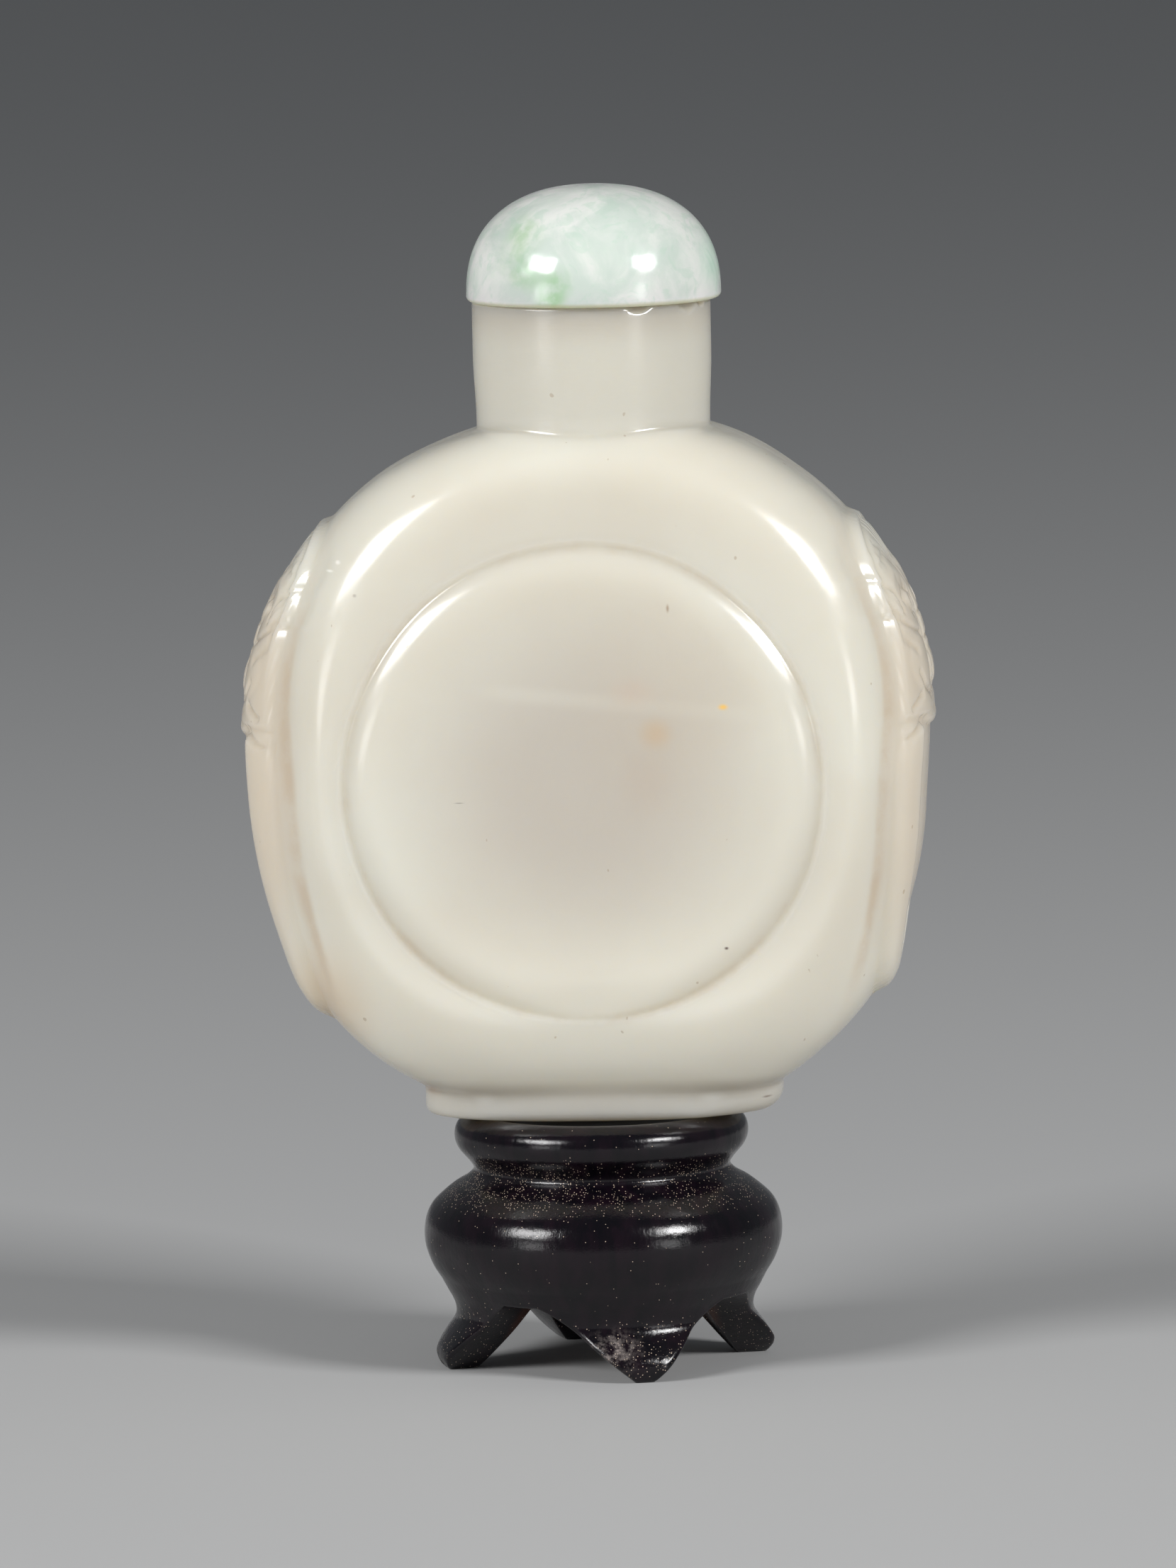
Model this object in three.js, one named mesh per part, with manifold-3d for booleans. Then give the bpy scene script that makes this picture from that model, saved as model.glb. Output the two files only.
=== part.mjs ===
// A jade snuff bottle with its stopper, standing on a small carved wood stand.
// Millimetres, +Z up, the stand's feet on z = 0, the bottle's raised discs facing -Y and +Y.
import * as THREE from 'three';
import { mergeVertices } from 'three/addons/utils/BufferGeometryUtils.js';
import Module from 'manifold-3d';

const wasm = await Module();
wasm.setup();

// ---------------------------------------------------------------- driving dimensions
const REST_GAP = 0.05;             // between pieces that only rest on each other

const STAND_HEIGHT = 17.7;         // to the crest of the bead that carries the bottle
const STAND_TURN = 16.8;           // degrees from -Y towards +X to the first leg
const LEG_COUNT = 4;

const FOOT_BOTTOM = STAND_HEIGHT + REST_GAP;
const FOOT_HALF_WIDTH = 12.55;
const FOOT_HALF_DEPTH = 7.0;
const FOOT_SHIFT = 0.3;            // the hand-cut foot stands a little to +X of the body
const FOOT_POWER = 2.3;
const FOOT_EDGE = 0.6;             // rounding of the foot's lower edge

const BODY_MID = 42.1;
const BODY_HALF_WIDTH = 24.0;
const BODY_UP = 24.65;             // from BODY_MID to where the shoulder would close
const BODY_DOWN = 25.2;
const BODY_POWER = 2.2;
const BODY_HALF_DEPTH = 12.3;      // of the rounded form, before it is cut flat for the discs

const DISC_SHIFT = -0.25;          // the discs stand a little to -X of the body
const DISC_MID = 41.8;             // height of the disc centres
const DISC_DEPTH = 11;
const DISC_FLAT_RADIUS = 14.05;
const DISC_EDGE_RADIUS = 3.6;      // rounding of the disc's rim
const GROOVE_RADIUS = 16.5;        // foot of the raised disc
const GROOVE_DEPTH = 10.05;        // of the flat round the disc
const CREST_SOFTNESS = 0.5;        // rounding between that flat and the rounded form

const NECK_RADIUS = 8.14;
const LIP_RADIUS = 8.31;
const NECK_TOP = 74.6;
const NECK_SHIFT = 0.5;            // the neck leans a little to +X of the body
const LIP_EDGE = 0.15;
const JOINT_SOFTNESS = 0.5;        // size of the fillets at neck and foot

const BORE_RADIUS = 3.8;
const CAVITY_HALF_WIDTH = 20.6;
const CAVITY_HALF_DEPTH = 7.9;
const CAVITY_UP = 19.6;
const CAVITY_DOWN = 20.4;

const MASK_TOP = 59.6;
const MASK_MID = 52.6;
const MASK_BOTTOM = 45.8;
const MASK_HALF_WIDTH = 7.0;
const MASK_RELIEF = 0.4;
const RING_MID = 41;
const RING_BOTTOM = { left: 24.6, right: 25.9 };
const RING_HALF_WIDTH = 7.7;
const RING_BAND = 2.3;
const RING_RELIEF = 0.75;

const STOPPER_RADIUS = 8.78;
const STOPPER_HEIGHT = 8.0;
const STOPPER_SHIFT = NECK_SHIFT + 0.2;
const STOPPER_POWER = 2.35;

// ---------------------------------------------------------------- small helpers
const { abs, atan2, cos, hypot, max, min, PI, sign, sin, sqrt } = Math;
const radians = THREE.MathUtils.degToRad;
const mix = THREE.MathUtils.lerp;
const step = (value, from, to) => THREE.MathUtils.smoothstep(value, from, to);

// count + 1 values from a to b
const spaced = (a, b, count) => Array.from({ length: count + 1 }, (_, i) => mix(a, b, i / count));

// the whole numbers from a to b
const counted = (a, b) => Array.from({ length: b - a + 1 }, (_, i) => a + i);

// the larger or the smaller of two values, with a fillet where they are alike
const softMax = (a, b, size) => max(a, b) + max(size - abs(a - b), 0) ** 2 / (4 * size);
const softMin = (a, b, size) => -softMax(-a, -b, size);

// a rounded bump with the given centre, half sizes and height
const bump = (u, v, cu, cv, ru, rv, height) =>
  height * sqrt(max(0, 1 - ((u - cu) / ru) ** 2 - ((v - cv) / rv) ** 2));

class MeshBuilder {
  constructor() {
    this.points = [];
    this.faces = [];
  }
  add(x, y, z) {
    return this.points.push(x, y, z) / 3 - 1;
  }
  quad(a, b, c, d) {
    this.faces.push(a, b, c, a, c, d);
  }
  // a band of quads between two closed rings of indices
  band(lower, upper) {
    lower.forEach((_, i) => {
      const next = (i + 1) % lower.length;
      this.quad(lower[i], lower[next], upper[next], upper[i]);
    });
  }
  // a fan that closes a ring; the ring runs counter-clockwise seen from outside
  fan(ring, x, y, z) {
    const centre = this.add(x, y, z);
    ring.forEach((_, i) => this.faces.push(centre, ring[i], ring[(i + 1) % ring.length]));
  }
  geometry() {
    const geometry = new THREE.BufferGeometry();
    geometry.setAttribute('position', new THREE.Float32BufferAttribute(this.points, 3));
    geometry.setIndex(this.faces);
    geometry.computeVertexNormals();
    return geometry;
  }
}

// ---------------------------------------------------------------- booleans
function toSolid(geometry) {
  const bare = geometry.clone();
  bare.deleteAttribute('normal');
  bare.deleteAttribute('uv');
  const merged = mergeVertices(bare, 1e-4);
  return new wasm.Manifold(new wasm.Mesh({
    numProp: 3,
    vertProperties: new Float32Array(merged.attributes.position.array),
    triVerts: new Uint32Array(merged.index.array),
  }));
}

function toGeometry(solid) {
  const mesh = solid.getMesh();
  const geometry = new THREE.BufferGeometry();
  geometry.setAttribute('position', new THREE.BufferAttribute(mesh.vertProperties, 3));
  geometry.setIndex(new THREE.BufferAttribute(mesh.triVerts, 1));
  geometry.computeVertexNormals();
  return geometry;
}

// ---------------------------------------------------------------- the bottle's outer form
const bodyRise = (z) => (z > BODY_MID ? BODY_UP : BODY_DOWN);

// half width of the bare body at a height
function bodyHalfWidth(z) {
  const u = min(abs(z - BODY_MID) / bodyRise(z), 1);
  return BODY_HALF_WIDTH * (1 - u ** BODY_POWER) ** (1 / BODY_POWER);
}

// half thickness of the rounded form; share is how far out a point lies, 1 at the outline,
// and lean is 1 straight above the middle, -1 straight below
function roundDepth(share, lean) {
  const power = 3 + (lean > 0 ? 1.15 * lean ** 3 : -0.6 * lean ** 6);
  return BODY_HALF_DEPTH * (1 - min(share, 1) ** power) ** (1 / power);
}

// half thickness of a raised disc, by the distance from its middle
function discDepth(r) {
  const over = min(max(r - DISC_FLAT_RADIUS, 0), GROOVE_RADIUS - DISC_FLAT_RADIUS);
  const fall = DISC_EDGE_RADIUS - sqrt(DISC_EDGE_RADIUS ** 2 - over ** 2);
  return r < GROOVE_RADIUS ? DISC_DEPTH - fall : GROOVE_DEPTH;
}

// half thickness of the body at a point of its face
function faceDepth(x, z) {
  const rise = z - BODY_MID;
  const lean = rise / max(hypot(x, rise), 1e-6);
  const share = ((abs(x) / BODY_HALF_WIDTH) ** BODY_POWER
    + (abs(rise) / bodyRise(z)) ** BODY_POWER) ** (1 / BODY_POWER);
  const disc = discDepth(hypot(x - DISC_SHIFT, z - DISC_MID));
  return max(softMin(roundDepth(share, lean), max(disc, GROOVE_DEPTH), CREST_SOFTNESS), 0);
}

// distance from the axis to the bare body, in a direction, at a height
function bodyReach(angle, z) {
  let inside = 0;
  let outside = bodyHalfWidth(z) / max(abs(cos(angle)), 0.01);
  for (let i = 0; i < 40; i += 1) {
    const reach = (inside + outside) / 2;
    const x = reach * cos(angle);
    const within = abs(x) < bodyHalfWidth(z) && reach * abs(sin(angle)) < faceDepth(x, z);
    if (within) inside = reach;
    else outside = reach;
  }
  return inside;
}

function footReach(angle, z) {
  const reach = ((abs(cos(angle)) / FOOT_HALF_WIDTH) ** FOOT_POWER
    + (abs(sin(angle)) / FOOT_HALF_DEPTH) ** FOOT_POWER) ** (-1 / FOOT_POWER);
  const below = max(FOOT_BOTTOM + FOOT_EDGE - z, 0);
  return reach - FOOT_EDGE + sqrt(max(FOOT_EDGE ** 2 - below ** 2, 0));
}

function neckReach(z) {
  const above = max(z - (NECK_TOP - LIP_EDGE), 0);
  return mix(NECK_RADIUS, LIP_RADIUS, step(z, 66.2, 71)) - LIP_EDGE
    + sqrt(max(LIP_EDGE ** 2 - above ** 2, 0));
}

// ---------------------------------------------------------------- mask-and-ring handles
// Low relief on the narrow sides; y is the distance from the side's middle line.
const MANE_CURLS = [[4.9, 57.3], [6.5, 54.8], [7.0, 51.8], [6.6, 48.8], [6.4, 46]];

function maskRelief(y, z) {
  const rise = (z - MASK_MID) / (z > MASK_MID ? MASK_TOP - MASK_MID : MASK_MID - MASK_BOTTOM);
  const inset = 1 - ((y / MASK_HALF_WIDTH) ** 3 + abs(rise) ** 3) ** (1 / 3);
  const browAway = hypot(y - 3.2, z - 52.3) - 2.8;
  const curls = max(...MANE_CURLS.map(([cu, cv]) => bump(y, z, cu, cv, 1.6, 1.7, 0.75)));
  const brow = z > 52 ? 0.35 * sqrt(max(0, 1 - (browAway / 0.9) ** 2)) : 0;
  const eye = bump(y, z, 3.2, 52.4, 1.6, 1.3, 0.5);
  const nose = bump(y, z, 0, 52, 1.5, 5.5, 0.25);
  const muzzle = bump(y, z, 1.5, 48.4, 2.2, 1.9, 0.3);
  const face = (MASK_RELIEF + max(brow, eye, nose, muzzle)) * step(inset, 0, 0.1);
  return max(face, curls);
}

function ringRelief(y, z, side) {
  const below = max(RING_MID - z, 0) / (RING_MID - RING_BOTTOM[side]);
  const inset = (1 - hypot(y / RING_HALF_WIDTH, below)) * RING_HALF_WIDTH;
  const band = sqrt(max(0, 1 - (2 * inset / RING_BAND - 1) ** 2));
  return RING_RELIEF * band * (1 - step(z, MASK_BOTTOM - 1, MASK_BOTTOM + 1));
}

const handleRelief = (y, z, side) => max(maskRelief(abs(y), z), ringRelief(abs(y), z, side));

// ---------------------------------------------------------------- the bottle's mesh
// Columns run round the body from +X, levels run up it. Each face has a square hole in
// that grid, filled by rings about the disc, so that disc, groove and crest stay round.
const SIDE_COLUMNS = [0, 0.9, 2.6, 5.2, 8.4, 12.2, 16.8, 22.2];
const FACE_COLUMNS = 14;
const FACE_EDGE = 29;

function columnAngles() {
  const side = SIDE_COLUMNS.map((a) => -a).reverse().concat(SIDE_COLUMNS.slice(1));
  const face = spaced(FACE_EDGE, 180 - FACE_EDGE, FACE_COLUMNS);
  const half = [...side, ...face];
  return [...half, ...half.map((a) => a + 180)].map(radians);
}

const FOOT_LEVELS = [
  ...[0, 0.2, 0.6, 1.55, 1.95, 2.35, 2.85, 3.5].map((rise) => FOOT_BOTTOM + rise),
];
const FACE_LEVELS = [
  ...spaced(22.3, 24.6, 2),
  ...spaced(24.6, MASK_BOTTOM, 9).slice(1),
  ...spaced(MASK_BOTTOM, MASK_TOP, 9).slice(1),
  ...spaced(MASK_TOP, 62.4, 2).slice(1),
];
const NECK_LEVELS = [
  63.2, 63.9, 64.5, 65, 65.35, 65.7, 66.3, 69, 72, NECK_TOP - LIP_EDGE, NECK_TOP,
];

// a point of the outer surface: column angle t, height z
function outerPoint(t, z) {
  const halfWidth = bodyHalfWidth(z);
  const x = halfWidth * cos(t);
  const y = sign(sin(t)) * faceDepth(min(abs(x), halfWidth), z);
  if (z >= FACE_LEVELS[0] && z <= FACE_LEVELS.at(-1)) {
    const side = x < 0 ? 'left' : 'right';
    return [x + sign(x) * handleRelief(y, z, side), abs(sin(t)) < 1e-9 ? 0 : y, z];
  }
  const bodyAngle = atan2(y, x);
  if (z > BODY_MID) {
    const lift = step(z, 62.4, 65.8);
    const angle = mix(bodyAngle, atan2(sin(t), cos(t)), lift);
    const reach = z < BODY_MID + BODY_UP
      ? softMax(bodyReach(angle, z), neckReach(z), JOINT_SOFTNESS) : neckReach(z);
    return [reach * cos(angle) + NECK_SHIFT * lift, reach * sin(angle), z];
  }
  const drop = 1 - step(z, FOOT_BOTTOM + 1.5, 22.3);
  const footAngle = atan2(FOOT_HALF_DEPTH * sin(t), FOOT_HALF_WIDTH * cos(t));
  const angle = mix(bodyAngle, footAngle, drop);
  const reach = softMax(bodyReach(angle, z), footReach(angle, z), JOINT_SOFTNESS);
  return [reach * cos(angle) + FOOT_SHIFT * drop, reach * sin(angle), z];
}

// radii of the rings round a disc, from the hole's rim inwards; full is the rim's distance
const FLAT_RING = 18.3;
const DISC_RINGS = [
  ...[2 / 3, 1 / 3].map((share) => (full) => mix(FLAT_RING, full, share)),
  ...[FLAT_RING, GROOVE_RADIUS + 0.2, GROOVE_RADIUS - 0.1, 15.5, DISC_FLAT_RADIUS].map((r) => () => r),
];

function bottleOutside() {
  const mesh = new MeshBuilder();
  const angles = columnAngles();
  const levels = [...FOOT_LEVELS, ...FACE_LEVELS, ...NECK_LEVELS];
  const grid = levels.map((z) => angles.map((t) => mesh.add(...outerPoint(t, z))));
  const columns = angles.length;
  const firstRow = FOOT_LEVELS.length;
  const lastRow = firstRow + FACE_LEVELS.length - 1;
  const backColumn = 2 * SIDE_COLUMNS.length - 1;
  const frontColumn = backColumn + columns / 2;
  const inFace = (row, column) => row >= firstRow && row < lastRow
    && [backColumn, frontColumn].some((c) => column >= c && column < c + FACE_COLUMNS);

  for (let row = 0; row < levels.length - 1; row += 1) {
    for (let column = 0; column < columns; column += 1) {
      const next = (column + 1) % columns;
      if (!inFace(row, column)) {
        mesh.quad(grid[row][column], grid[row][next], grid[row + 1][next], grid[row + 1][column]);
      }
    }
  }
  mesh.fan([...grid[0]].reverse(), FOOT_SHIFT, 0, FOOT_BOTTOM);
  mesh.fan(grid.at(-1), NECK_SHIFT, 0, NECK_TOP);

  for (const first of [backColumn, frontColumn]) {
    const last = first + FACE_COLUMNS;
    const rows = counted(firstRow, lastRow);
    const across = counted(first, last);
    const rim = [
      ...across.map((c) => grid[firstRow][c]),
      ...rows.slice(1).map((r) => grid[r][last]),
      ...across.slice(0, -1).reverse().map((c) => grid[lastRow][c]),
      ...rows.slice(1, -1).reverse().map((r) => grid[r][first]),
    ];
    const facing = first === backColumn ? 1 : -1;
    const place = (radiusFor, i) => {
      const x = mesh.points[3 * i] - DISC_SHIFT;
      const rise = mesh.points[3 * i + 2] - DISC_MID;
      const full = hypot(x, rise);
      const share = radiusFor(full) / full;
      const [px, pz] = [DISC_SHIFT + share * x, DISC_MID + share * rise];
      return mesh.add(px, facing * faceDepth(px, pz), pz);
    };
    let outer = rim;
    for (const radiusFor of DISC_RINGS) {
      const inner = rim.map((i) => place(radiusFor, i));
      mesh.band(outer, inner);
      outer = inner;
    }
    mesh.fan(outer, DISC_SHIFT, facing * DISC_DEPTH, DISC_MID);
  }
  return mesh.geometry();
}

function bottleInside() {
  const mesh = new MeshBuilder();
  const angles = spaced(0, 2 * PI, 28).slice(0, -1);
  const heights = spaced(-78, 78, 9).map(radians);
  const rings = heights.map((h) => angles.map((t) => mesh.add(
    CAVITY_HALF_WIDTH * cos(h) ** 0.9 * cos(t),
    CAVITY_HALF_DEPTH * cos(h) ** 0.75 * sin(t),
    BODY_MID + (h > 0 ? CAVITY_UP : CAVITY_DOWN) * sin(h),
  )));
  for (let i = 0; i < rings.length - 1; i += 1) mesh.band(rings[i], rings[i + 1]);
  mesh.fan([...rings[0]].reverse(), 0, 0, BODY_MID - CAVITY_DOWN);
  mesh.fan(rings.at(-1), 0, 0, BODY_MID + CAVITY_UP);
  const bottom = BODY_MID + CAVITY_UP - 4;
  const bore = new THREE.CylinderGeometry(BORE_RADIUS, BORE_RADIUS, NECK_TOP + 1 - bottom, 28);
  bore.rotateX(PI / 2);
  bore.translate(NECK_SHIFT, 0, (NECK_TOP + 1 + bottom) / 2);
  return toSolid(mesh.geometry()).add(toSolid(bore));
}

// ---------------------------------------------------------------- the stopper
function stopperGeometry() {
  const edge = 0.4;
  const dome = spaced(0, 90, 9).map(radians).map((a) => new THREE.Vector2(
    STOPPER_RADIUS * cos(a) ** (2 / STOPPER_POWER),
    edge + (STOPPER_HEIGHT - edge) * sin(a) ** (2 / STOPPER_POWER),
  ));
  dome[0].x += 0.1;
  dome.at(-1).x = 0;
  const foot = [
    new THREE.Vector2(0, 0),
    new THREE.Vector2(STOPPER_RADIUS - edge, 0),
    new THREE.Vector2(STOPPER_RADIUS, edge * 0.3),
  ];
  const geometry = new THREE.LatheGeometry([...foot, ...dome], 32);
  geometry.rotateX(PI / 2);
  return geometry;
}

// ---------------------------------------------------------------- the stand
// outline of the stand from the middle of its sunk top, over the bead, waist and belly
const STAND_TOP_PROFILE = [
  [7.3, 16.3], [7.8, 16.9], [8.6, STAND_HEIGHT], [9.6, 17.45], [10.15, 16.9], [10.3, 16.1],
  [10.05, 15.3], [9.3, 14.4], [9.0, 13.8], [9.5, 13.2], [10.5, 12.6], [11.6, 11.7],
  [12.2, 11.1], [12.55, 10.2], [12.55, 9.4], [11.95, 7.4],
];
const STAND_FLOOR = 16.3;
const SKIRT_TOP = 6.2;
const CEILING = 6.7;
const APRON_EDGE = 5.1;
const TOE_HALF_WIDTH = 0.6;
const LEG_SPREAD = 6.1;

// radius of the legs' and apron's outer face: drawn in at the ankle, out again at the toe
const legCurve = new THREE.SplineCurve([
  [11.2, 0], [11.75, 0.45], [11.9, 1.2], [11.2, 2.4], [10.45, 3.5], [10.55, 4.5], [11, 5.35],
  [11.45, SKIRT_TOP],
].map(([r, z]) => new THREE.Vector2(z, r)));
const innerCurve = new THREE.SplineCurve([
  [9.5, 0], [9.0, 0.6], [8.3, 1.6], [7.4, 3.2], [6.9, 4.8], [6.6, CEILING],
].map(([r, z]) => new THREE.Vector2(z, r)));

function radiusAt(curve, z) {
  let low = 0;
  let high = 1;
  for (let i = 0; i < 30; i += 1) {
    const t = (low + high) / 2;
    if (curve.getPoint(t).x < z) low = t;
    else high = t;
  }
  return curve.getPoint(low).y;
}

// height of the lower edge, by the distance round the stand from a leg's middle
function edgeHeight(distance) {
  const u = min(max((distance - TOE_HALF_WIDTH) / LEG_SPREAD, 0), 1);
  return APRON_EDGE * (1 - (1 - u) ** 1.17);
}

function standGeometry() {
  const mesh = new MeshBuilder();
  const legPitch = 360 / LEG_COUNT;
  const halfLeg = [3.8, 10, 17, 25, 34];
  const sector = [0, ...halfLeg, legPitch / 2, ...halfLeg.map((a) => legPitch - a).reverse()];
  const columns = [];
  for (let leg = 0; leg < LEG_COUNT; leg += 1) {
    for (const offset of sector) {
      const away = radians(min(offset, legPitch - offset)) * 10.8;
      const edge = edgeHeight(offset === halfLeg[0] || offset === legPitch - halfLeg[0] ? 0 : away);
      columns.push({ angle: radians(offset + leg * legPitch + STAND_TURN - 90), edge });
    }
  }
  const ring = (radius, height) => columns.map((column) => {
    const r = typeof radius === 'function' ? radius(column) : radius;
    const z = typeof height === 'function' ? height(column) : height;
    return mesh.add(r * cos(column.angle), r * sin(column.angle), z);
  });
  const skirt = [0.75, 0.5, 0.3, 0.12, 0].map((share) => {
    const height = (column) => mix(column.edge, SKIRT_TOP, share);
    return ring((column) => radiusAt(legCurve, height(column)), height);
  });
  const inside = [0, 0.3, 0.65].map((share) => {
    const height = (column) => mix(column.edge, CEILING, share);
    return ring((column) => radiusAt(innerCurve, height(column)), height);
  });
  const top = STAND_TOP_PROFILE.map(([r, z]) => ring(r, z));
  const rings = [...top, ring(11.45, SKIRT_TOP), ...skirt, ...inside, ring(6.6, CEILING)];
  for (let i = 0; i < rings.length - 1; i += 1) mesh.band(rings[i + 1], rings[i]);
  mesh.fan(rings[0], 0, 0, STAND_FLOOR);
  mesh.fan([...rings.at(-1)].reverse(), 0, 0, CEILING);
  return mesh.geometry();
}

// ---------------------------------------------------------------- materials and pieces
const jade = new THREE.MeshStandardMaterial({ color: 0xd3cfc0, roughness: 0.28, metalness: 0 });
const greenJade = new THREE.MeshStandardMaterial({ color: 0xb4c9a4, roughness: 0.12, metalness: 0 });
const darkWood = new THREE.MeshStandardMaterial({ color: 0x1c1114, roughness: 0.3, metalness: 0 });

function piece(name, geometry, material, x = 0, z = 0) {
  const mesh = new THREE.Mesh(geometry, material);
  mesh.name = name;
  mesh.position.set(x, 0, z);
  return mesh;
}

const snuffBottle = new THREE.Group();
snuffBottle.add(
  piece('bottle', toGeometry(toSolid(bottleOutside()).subtract(bottleInside())), jade),
  piece('stopper', stopperGeometry(), greenJade, STOPPER_SHIFT, NECK_TOP + REST_GAP),
  piece('stand', standGeometry(), darkWood),
);

export default snuffBottle;
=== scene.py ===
"""A jade snuff bottle with its stopper, on a small carved wood stand.

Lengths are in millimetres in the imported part's own frame: +Z up, the toes on z = 0, the raised
discs facing -Y and +Y. They become metres where they are handed to Blender.
"""
import math

import bpy
import numpy as np
from mathutils import Matrix, Vector


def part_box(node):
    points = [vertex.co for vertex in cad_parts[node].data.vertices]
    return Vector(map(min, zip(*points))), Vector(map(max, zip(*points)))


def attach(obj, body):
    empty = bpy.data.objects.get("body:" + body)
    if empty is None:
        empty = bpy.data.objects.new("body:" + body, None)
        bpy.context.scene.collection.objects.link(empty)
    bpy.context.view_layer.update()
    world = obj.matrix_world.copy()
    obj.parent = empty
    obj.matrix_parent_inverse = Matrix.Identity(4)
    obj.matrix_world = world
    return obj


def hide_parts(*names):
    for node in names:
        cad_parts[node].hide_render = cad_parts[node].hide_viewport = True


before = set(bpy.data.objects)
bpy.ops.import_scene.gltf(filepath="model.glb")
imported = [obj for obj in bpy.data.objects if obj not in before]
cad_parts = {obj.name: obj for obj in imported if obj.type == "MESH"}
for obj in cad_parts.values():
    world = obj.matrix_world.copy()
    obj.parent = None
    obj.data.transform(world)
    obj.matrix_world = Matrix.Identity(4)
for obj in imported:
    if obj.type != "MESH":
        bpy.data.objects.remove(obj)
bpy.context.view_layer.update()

METRE = 1000.0


def node_box(node):
    """Lowest and highest corner of a CAD node, in millimetres."""
    return [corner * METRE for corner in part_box(node)]


# ------------------------------------------------------------------ sizes taken from the frame
bottle_low, bottle_high = node_box("bottle")
stopper_low, stopper_high = node_box("stopper")
stand_high = node_box("stand")[1]

FOOT_BOTTOM = bottle_low.z
NECK_TOP = bottle_high.z
STOPPER_BOTTOM = stopper_low.z
STOPPER_HEIGHT = stopper_high.z - stopper_low.z
STOPPER_RADIUS = stopper_high.y
STOPPER_SHIFT = (stopper_low.x + stopper_high.x) / 2
STAND_HEIGHT = stand_high.z
STAND_RADIUS = stand_high.y

# ------------------------------------------------------------------ the bottle's own sizes
BODY_MID = FOOT_BOTTOM + 24.35
BODY_HALF_WIDTH = 24.0
BODY_UP = 24.65                     # from BODY_MID to where the shoulder would close
BODY_DOWN = 25.2
BODY_POWER = 2.2                    # how square the outline is
BODY_HALF_DEPTH = 12.3              # of the rounded form, before it is cut flat for the discs
DEPTH_POWER = 3.0                   # how square the form is across its thickness
DEPTH_POWER_TOP = 1.15              # more than that straight above the middle
DEPTH_POWER_FOOT = 0.6              # and less straight below it

DISC_SHIFT = -0.25                  # of the disc centres, along x
DISC_MID = FOOT_BOTTOM + 24.05      # height of the disc centres
DISC_DEPTH = 11.0                   # of the disc faces from the middle plane
DISC_FLAT_RADIUS = 14.05
DISC_EDGE_RADIUS = 3.6              # rounding of the disc's rim
GROOVE_RADIUS = 16.5                # foot of the raised disc
GROOVE_DEPTH = 10.05                # of the flat round the disc
GROOVE_CUT = 0.035                  # depth of the line cut at the disc's foot
GROOVE_CUT_WIDTH = 0.25
GROOVE_LIP = 0.05                   # height of the lip just outside it
GROOVE_LIP_WIDTH = 0.2
GROOVE_LIP_OFFSET = 0.42

FOOT_HALF_WIDTH = 12.55
FOOT_HALF_DEPTH = 7.0
FOOT_SHIFT = 0.3                    # of the foot along x, and of the neck below
FOOT_POWER = 2.3
FOOT_EDGE = 0.6                     # rounding of the foot's lower edge
FOOT_EDGE_WORN = 0.9                # more than that at its worn +X end

NECK_RADIUS = 8.14
LIP_RADIUS = 8.31
NECK_SHIFT = 0.5
NECK_LENGTH = 8.4                   # of its straight part
NECK_FLARE_END = 3.6                # how far under the top the neck has its full width
LIP_EDGE = 0.15
JOINT_SOFTNESS = 0.5                # fillet where the neck and the foot meet the body

BORE_RADIUS = 3.8
BORE_EDGE = 0.2                     # bevel at the bore's mouth
BORE_LENGTH = 14.4
CAVITY_HALF_WIDTH = 20.6
CAVITY_HALF_DEPTH = 7.9
CAVITY_UP = 19.6                    # from BODY_MID
CAVITY_DOWN = 20.4
CAVITY_WIDTH_POWER = 0.9
CAVITY_DEPTH_POWER = 0.75

MASK_TOP = FOOT_BOTTOM + 41.85
MASK_MID = FOOT_BOTTOM + 34.85
MASK_BOTTOM = FOOT_BOTTOM + 28.05
MASK_HALF_WIDTH = 7.0
RING_MID = FOOT_BOTTOM + 23.25
RING_BOTTOM = (FOOT_BOTTOM + 6.85, FOOT_BOTTOM + 8.15)      # left (-X), right
RING_HALF_WIDTH = 7.85
RING_BAND = 2.6                     # width of the ring's round band
RING_RELIEF = 0.62
HANDLE_WEAR = (-0.25, 0.28)         # how much lower each handle's middle is rubbed: left, right
SLIM_SIDE = 0.62                    # how much slimmer the +X side is below its middle


# ------------------------------------------------------------------ small helpers
def mix(a, b, share):
    return a + (b - a) * share


def smooth(value, start, end):
    share = np.clip((value - start) / (end - start), 0, 1)
    return share * share * (3 - 2 * share)


def soft_max(a, b, size):
    """The larger of two values, with a fillet where they are alike."""
    return np.maximum(a, b) + np.maximum(size - abs(a - b), 0) ** 2 / (4 * size)


def soft_min(a, b, size):
    return -soft_max(-a, -b, size)


def bump(u, v, centre, half, height, turn=0.0):
    """A rounded bump on an ellipse, turned anticlockwise by so many degrees."""
    c, s = math.cos(math.radians(turn)), math.sin(math.radians(turn))
    du, dv = u - centre[0], v - centre[1]
    away = ((du * c + dv * s) / half[0]) ** 2 + ((dv * c - du * s) / half[1]) ** 2
    return height * np.sqrt(np.maximum(1 - away, 0))


def line(u, v, points, width, height):
    """A soft ridge along a line through the points."""
    away = np.full(np.broadcast(u, v).shape, 99.0)
    for (u0, v0), (u1, v1) in zip(points, points[1:]):
        length = math.hypot(u1 - u0, v1 - v0)
        share = np.clip(((u - u0) * (u1 - u0) + (v - v0) * (v1 - v0)) / length ** 2, 0, 1)
        away = np.minimum(away, np.hypot(u - mix(u0, u1, share), v - mix(v0, v1, share)))
    return height * np.exp(-((away / (0.5 * width)) ** 2))


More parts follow.
